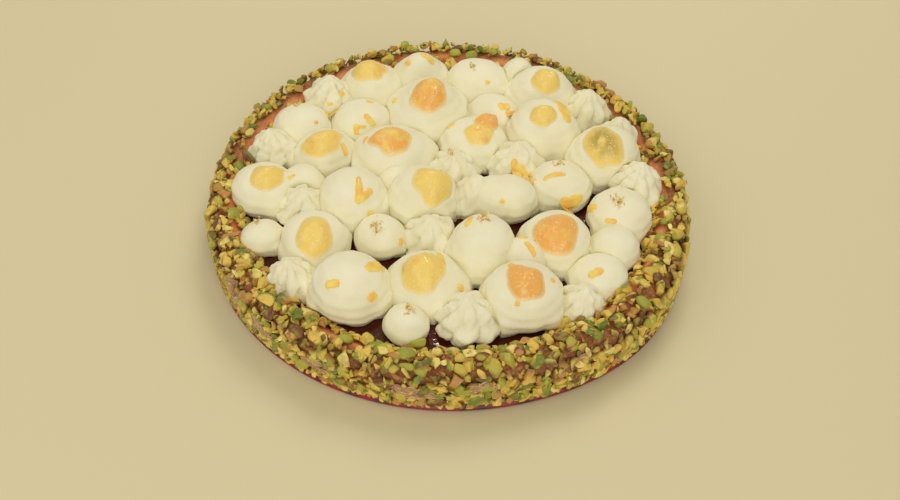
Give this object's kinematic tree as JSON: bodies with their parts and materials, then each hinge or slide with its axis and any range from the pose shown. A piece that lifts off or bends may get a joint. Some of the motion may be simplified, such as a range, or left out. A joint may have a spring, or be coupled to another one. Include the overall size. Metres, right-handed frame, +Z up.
{
  "type": "jam tart with piped cream and pistachios",
  "caption": "Round shortcrust tart with a nut-coated side and rim, dark jam, piped cream dollops and rosettes, and orange jelly drops.",
  "frame": {"origin": "centre of the flat base, on the surface that the tart stands on", "axes": "+Z up; -Y towards the side that the picture shows from the front"},
  "size_m": [0.2545, 0.2552, 0.0481],
  "materials": {
    "crust": "baked, dull",
    "nuts": "chopped, slightly oily",
    "jam": "wet, glossy",
    "cream": "smooth, soft sheen",
    "jelly": "clear, wet",
    "peel": "candied, moist",
    "gold_leaf": "thin leaf",
    "glaze": "clear, sticky"
  },
  "bodies": {
    "root": {"crust": "crust", "jam": "jam", "cream_01": "cream", "cream_02": "cream", "cream_03": "cream", "cream_04": "cream", "cream_05": "cream", "cream_06": "cream", "cream_07": "cream", "cream_08": "cream", "cream_09": "cream", "cream_10": "cream", "cream_11": "cream", "cream_12": "cream", "cream_13": "cream", "cream_14": "cream", "cream_15": "cream", "cream_16": "cream", "cream_17": "cream", "cream_18": "cream", "cream_19": "cream", "cream_20": "cream", "cream_21": "cream", "cream_22": "cream", "cream_23": "cream", "cream_24": "cream", "cream_25": "cream", "cream_26": "cream", "cream_27": "cream", "cream_28": "cream", "cream_29": "cream", "cream_30": "cream", "cream_31": "cream", "cream_32": "cream", "rosette_01": "cream", "rosette_02": "cream", "rosette_03": "cream", "rosette_04": "cream", "rosette_05": "cream", "rosette_06": "cream", "rosette_07": "cream", "rosette_08": "cream", "rosette_09": "cream", "rosette_10": "cream", "rosette_11": "cream", "rosette_12": "cream", "jelly_01": "jelly", "jelly_02": "jelly", "jelly_03": "jelly", "jelly_04": "jelly", "jelly_05": "jelly", "jelly_06": "jelly", "jelly_07": "jelly", "jelly_08": "jelly", "jelly_09": "jelly", "jelly_10": "jelly", "jelly_11": "jelly", "jelly_12": "jelly", "jelly_13": "jelly", "jelly_14": "jelly"}
  },
  "joints": []
}
